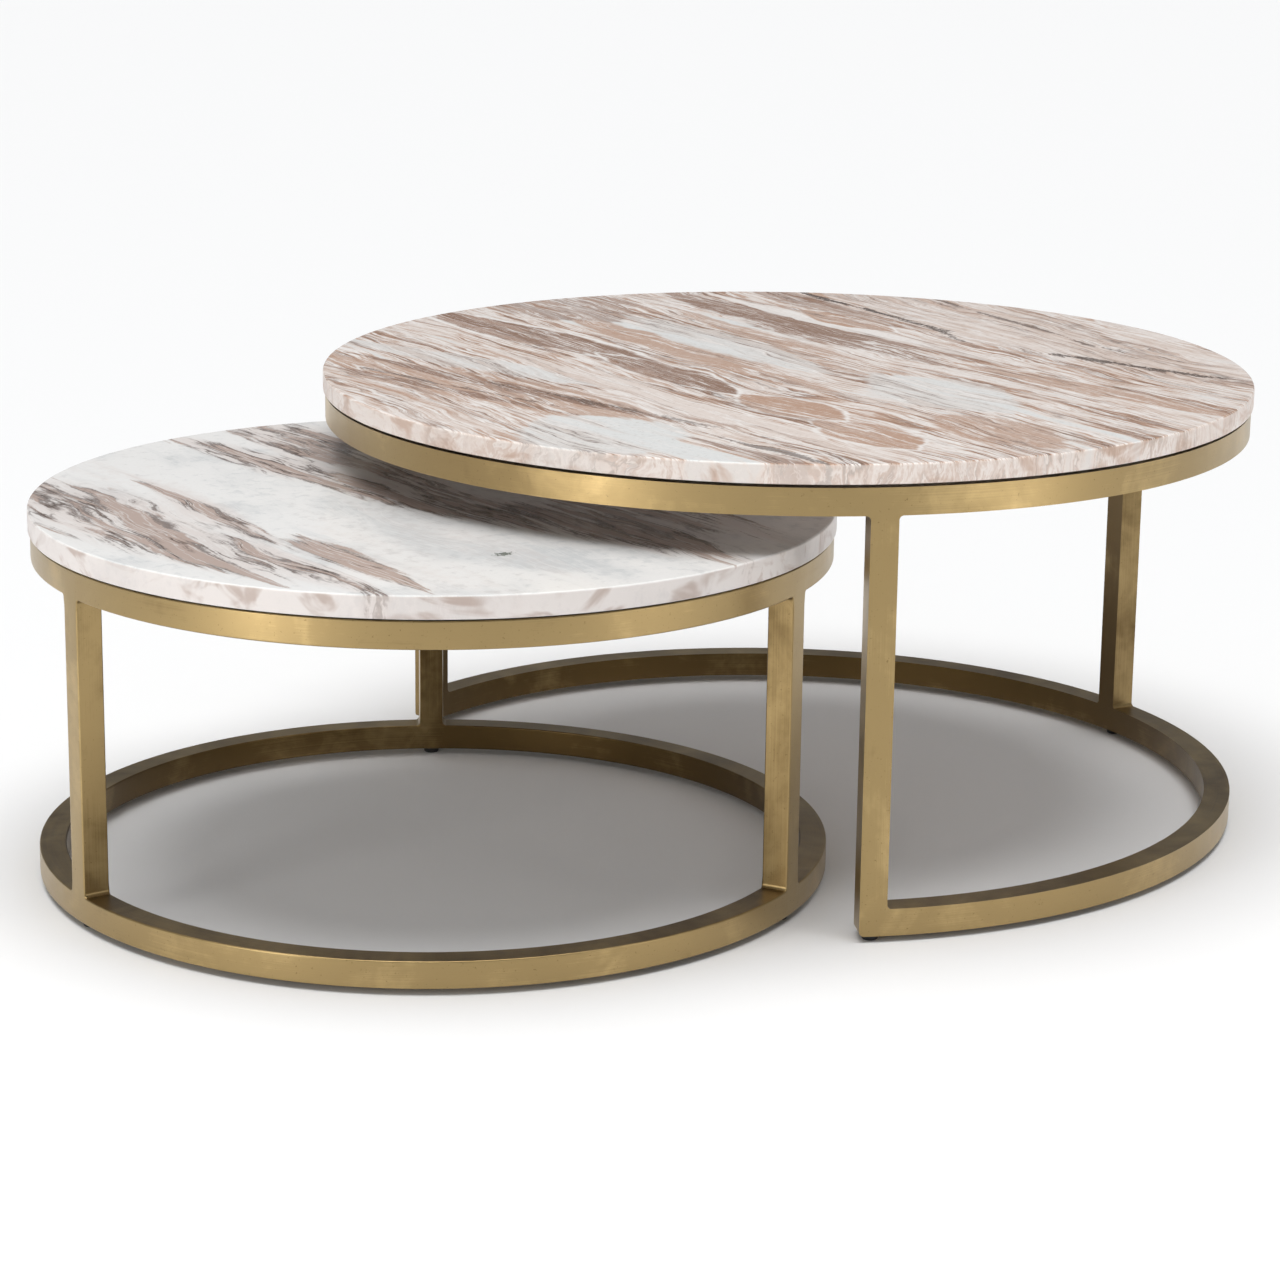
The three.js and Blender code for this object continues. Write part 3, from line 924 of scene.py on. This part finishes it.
class NEST_OT_stage(bpy.types.Operator):
    """Make the camera, the lights and the floor"""

    bl_idname = "nest.stage"
    bl_label = "Stage"

    def execute(self, context):
        stage = settings().nest_stage
        low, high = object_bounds()
        middle_of_set = Vector(((low.x + high.x) / 2, (low.y + high.y) / 2, stage.aim_height))
        view = Matrix.Rotation(stage.turn, 4, "Z")
        self.add_camera(stage, view, middle_of_set)
        self.add_lights(stage, view, middle_of_set)
        self.add_floor(stage)
        return {"FINISHED"}

    def add_camera(self, stage, view, aim):
        lens = bpy.data.cameras.new("Camera")
        lens.lens = stage.lens
        lens.sensor_width = SENSOR_WIDTH
        back = Vector((0, -math.cos(stage.elevation), math.sin(stage.elevation)))
        spot = aim + view @ (back * stage.distance - Vector((stage.aim_side, 0, 0)))
        look = (view @ -back).to_track_quat("-Z", "Y").to_matrix().to_4x4()
        camera = link(bpy.data.objects.new("Camera", lens))
        camera.matrix_world = Matrix.Translation(spot) @ look @ Matrix.Rotation(stage.tilt, 4, "Z")
        bpy.context.scene.camera = camera

    def add_lights(self, stage, view, aim):
        sun = bpy.data.lights.new("Overhead light", "SUN")
        sun.energy = stage.key
        sun.angle = SUN_SPREAD
        lamp = link(bpy.data.objects.new("Overhead light", sun))
        lamp.rotation_euler = (SUN_LEAN, -SUN_LEAN, 0)
        for name, (offset, size, power) in PANELS.items():
            self.add_panel(name, view, aim, offset, size, power)
        world = bpy.data.worlds.new("Studio")
        world.use_nodes = True
        tree = world.node_tree
        ramp = tree.nodes.new("ShaderNodeMapRange")
        split = tree.nodes.new("ShaderNodeSeparateXYZ")
        place = tree.nodes.new("ShaderNodeTexCoord")
        tree.links.new(place.outputs["Generated"], split.inputs[0])
        tree.links.new(split.outputs["Z"], ramp.inputs["Value"])
        ramp.inputs["To Min"].default_value = stage.horizon
        ramp.inputs["To Max"].default_value = stage.zenith
        # the sky lights the tables dimly from the side, and is itself seen as a pale backdrop
        path = tree.nodes.new("ShaderNodeLightPath")
        seen = tree.nodes.new("ShaderNodeMix")
        tree.links.new(path.outputs["Is Camera Ray"], seen.inputs["Factor"])
        tree.links.new(ramp.outputs[0], seen.inputs["A"])
        seen.inputs["B"].default_value = stage.backdrop
        tree.links.new(seen.outputs["Result"], tree.nodes["Background"].inputs["Strength"])
        tree.nodes["Background"].inputs["Color"].default_value = SKY_TINT
        bpy.context.scene.world = world
        bpy.context.scene.view_settings.view_transform = "Standard"

    def add_panel(self, name, view, aim, offset, size, power):
        """A soft panel beside the camera, placed from the middle of the set along the view."""
        panel = bpy.data.lights.new(name, "AREA")
        panel.shape = "RECTANGLE"
        panel.size, panel.size_y = size
        panel.energy = power
        panel.color = PANEL_TINT
        place = view @ Vector(offset)
        facing = Vector((-place.x, -place.y, 0.0)).to_track_quat("-Z", "Y").to_matrix().to_4x4()
        lamp = link(bpy.data.objects.new(name, panel))
        lamp.matrix_world = Matrix.Translation(aim + place) @ facing

    def add_floor(self, stage):
        work = turned_bmesh([(0.0, 0.0), (stage.floor_radius, 0.0)], 96, Vector((0, 0, 0)))
        shader = Shader("Pale floor")
        shader.set(Base_Color=(*stage.floor, 1.0), Roughness=0.75)
        floor = from_bmesh("Floor", work, shader.material)
        floor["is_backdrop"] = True


class NEST_OT_frames(bpy.types.Operator):
    """Build the welded brass frame of each table"""

    bl_idname = "nest.frames"
    bl_label = "Welded frames"

    def execute(self, context):
        brass = settings().nest_brass
        for name in TABLES:
            table = Table(name)
            material = brushed_brass(f"{name} aged brass", table, brass)
            piece = welded_frame(table, brass, material)
            parts = [f"{name}_upper_ring", f"{name}_floor_ring", *table.legs, *table.caps]
            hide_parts(*parts)
            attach(piece, body_of(f"{name}_upper_ring"))
            for tab in nodes_of(name, "fixing_tab"):
                tab_object = frame["nodes"][tab]
                tab_object.data.materials.clear()
                tab_object.data.materials.append(material)
                soften(tab_object, 0.0006, segments=2)
        return {"FINISHED"}


class NEST_OT_tops(bpy.types.Operator):
    """Build the marble tops"""

    bl_idname = "nest.tops"
    bl_label = "Marble tops"

    def execute(self, context):
        stone = settings().nest_stone
        for name in TABLES:
            table = Table(name)
            if name == "large":
                material = brown_marble("Brown-veined marble", table, stone)
            else:
                material = white_marble("White marble", table, stone)
            piece = self.slab(table, stone, material)
            self.drill(piece, table, material)
            smooth_by_angle(piece)
            even_shading(piece)
            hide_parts(f"{name}_marble_top")
            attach(piece, body_of(f"{name}_marble_top"))
        return {"FINISHED"}

    def slab(self, table, stone, material):
        edge = table.stone_radius
        low, high = table.stone
        profile = [(0.0, low), (edge * 0.5, low)]
        profile += quarter_round(
            (edge - stone.lower_arris, low + stone.lower_arris), stone.lower_arris, -90, 0, 3
        )
        profile += quarter_round((edge - stone.arris, high - stone.arris), stone.arris, 0, 90)
        profile += [(edge * 0.98, high), (edge * 0.5, high), (0.0, high)]
        work = turned_bmesh(profile, ROUND_STEPS, table.centre)
        return from_bmesh(f"{table.name}_stone", work, material)

    def drill(self, piece, table, material):
        """The blind holes that the threaded inserts are bonded into."""
        for insert in nodes_of(table.name, "fixing_insert"):
            low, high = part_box(insert)
            radius = (high.x - low.x) / 2 + 0.0003
            top = high.z + 0.001
            profile = [(0.0, low.z - 0.001), (radius, low.z - 0.001), (radius, top), (0.0, top)]
            work = turned_bmesh(profile, 24, middle(insert))
            cut(piece, from_bmesh("drill", work, material))


class NEST_OT_feet(bpy.types.Operator):
    """Build the levelling feet and finish the bushes they screw into"""

    bl_idname = "nest.feet"
    bl_label = "Levelling feet"

    def execute(self, context):
        feet = settings().nest_feet
        plastic = moulded_plastic("Black plastic", feet.plastic)
        steel = turned_metal("Zinc plate", (0.60, 0.61, 0.63), (0.38, 0.38, 0.39), 0.35)
        for name in TABLES:
            for glide in nodes_of(name, "foot_glide"):
                piece = self.glide(glide, feet, plastic)
                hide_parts(glide)
                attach(piece, body_of(glide))
            for kind in ("foot_stud", "foot_bush"):
                for node in nodes_of(name, kind):
                    finish_node(node, steel, 0.0003)
        return {"FINISHED"}

    def glide(self, node, feet, material):
        low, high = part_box(node)
        radius = (high.x - low.x) / 2
        sole = radius * 0.9
        turn = feet.rounding
        profile = [(0.0, 0.0006), (sole * 0.55, 0.0006), (sole * 0.6, 0.0)]
        profile += quarter_round((sole - turn, turn), turn, -90, 0)
        profile += [(radius - 0.0002, high.z * 0.55)]
        profile += quarter_round((radius - 0.0005, high.z - 0.0005), 0.0005, 0, 90, 3)
        socket = radius * 0.4
        profile += [(socket, high.z), (socket, high.z * 0.4), (0.0, high.z * 0.4)]
        work = turned_bmesh(profile, 48, middle(node))
        piece = from_bmesh(f"{node}_moulding", work, material)
        smooth_by_angle(piece)
        return piece


def finish_node(node, material, edge):
    """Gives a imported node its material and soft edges."""
    piece = frame["nodes"][node]
    piece.data.materials.clear()
    piece.data.materials.append(material)
    smooth_by_angle(piece)
    soften(piece, edge, segments=2)


class NEST_OT_fixings(bpy.types.Operator):
    """Build the screws, inserts and pads that hold the stone"""

    bl_idname = "nest.fixings"
    bl_label = "Stone fixings"

    def execute(self, context):
        feet = settings().nest_feet
        steel = turned_metal("Screw steel", (0.58, 0.585, 0.60), (0.33, 0.33, 0.34), 0.32)
        yellow = turned_metal("Turned brass", (0.72, 0.55, 0.28), (0.50, 0.36, 0.17), 0.38)
        rubber = moulded_plastic("Black rubber", feet.rubber)
        for name in TABLES:
            for node in nodes_of(name, "fixing_screw"):
                piece = self.screw(node, feet, steel)
                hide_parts(node)
                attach(piece, body_of(node))
            for node in nodes_of(name, "fixing_insert"):
                finish_node(node, yellow, 0.0002)
            for node in nodes_of(name, "stone_pad"):
                finish_node(node, rubber, 0.0003)
        return {"FINISHED"}

    def screw(self, node, feet, material):
        """A pan-head screw with a hexagon socket, its head downwards."""
        low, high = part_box(node)
        head = (high.x - low.x) / 2
        shank = head * 0.48
        thick = head * 0.57
        profile = [(0.0, low.z), (head * 0.6, low.z)]
        profile += quarter_round((head * 0.6, low.z + head * 0.4), head * 0.4, -90, 0)
        profile += [(head, low.z + thick), (shank, low.z + thick)]
        profile += [(shank, high.z - 0.001), (shank - 0.001, high.z), (0.0, high.z)]
        piece = from_bmesh(f"{node}_turned", turned_bmesh(profile, 32, middle(node)), material)
        across = feet.hexagon / 2 / math.cos(math.pi / 6)
        deep = low.z + thick * 0.6
        socket = [(0.0, low.z - 0.001), (across, low.z - 0.001), (across, deep), (0.0, deep)]
        cut(piece, from_bmesh("socket", turned_bmesh(socket, 6, middle(node)), material))
        smooth_by_angle(piece)
        return piece


class NEST_PT_panel(bpy.types.Panel):
    """The tools that build the tables, in order"""

    bl_idname = "NEST_PT_panel"
    bl_label = "Nesting Tables"
    bl_space_type = "VIEW_3D"
    bl_region_type = "UI"
    bl_category = "Nesting Tables"

    def draw(self, context):
        for tool in BUILD_ORDER:
            self.layout.operator(tool.bl_idname)


BUILD_ORDER = (NEST_OT_stage, NEST_OT_frames, NEST_OT_tops, NEST_OT_feet, NEST_OT_fixings)
SETTINGS = {
    "nest_stage": StageSettings,
    "nest_brass": BrassSettings,
    "nest_stone": StoneSettings,
    "nest_feet": FootSettings,
}


def register():
    for group in SETTINGS.values():
        bpy.utils.register_class(group)
    for name, group in SETTINGS.items():
        setattr(bpy.types.Scene, name, bpy.props.PointerProperty(type=group))
    for tool in (*BUILD_ORDER, NEST_PT_panel):
        bpy.utils.register_class(tool)


def unregister():
    for tool in reversed((*BUILD_ORDER, NEST_PT_panel)):
        bpy.utils.unregister_class(tool)
    for name, group in SETTINGS.items():
        delattr(bpy.types.Scene, name)
        bpy.utils.unregister_class(group)


def main():
    register()
    for tool in BUILD_ORDER:
        group, name = tool.bl_idname.split(".")
        getattr(getattr(bpy.ops, group), name)()


if __name__ == "__main__":
    main()
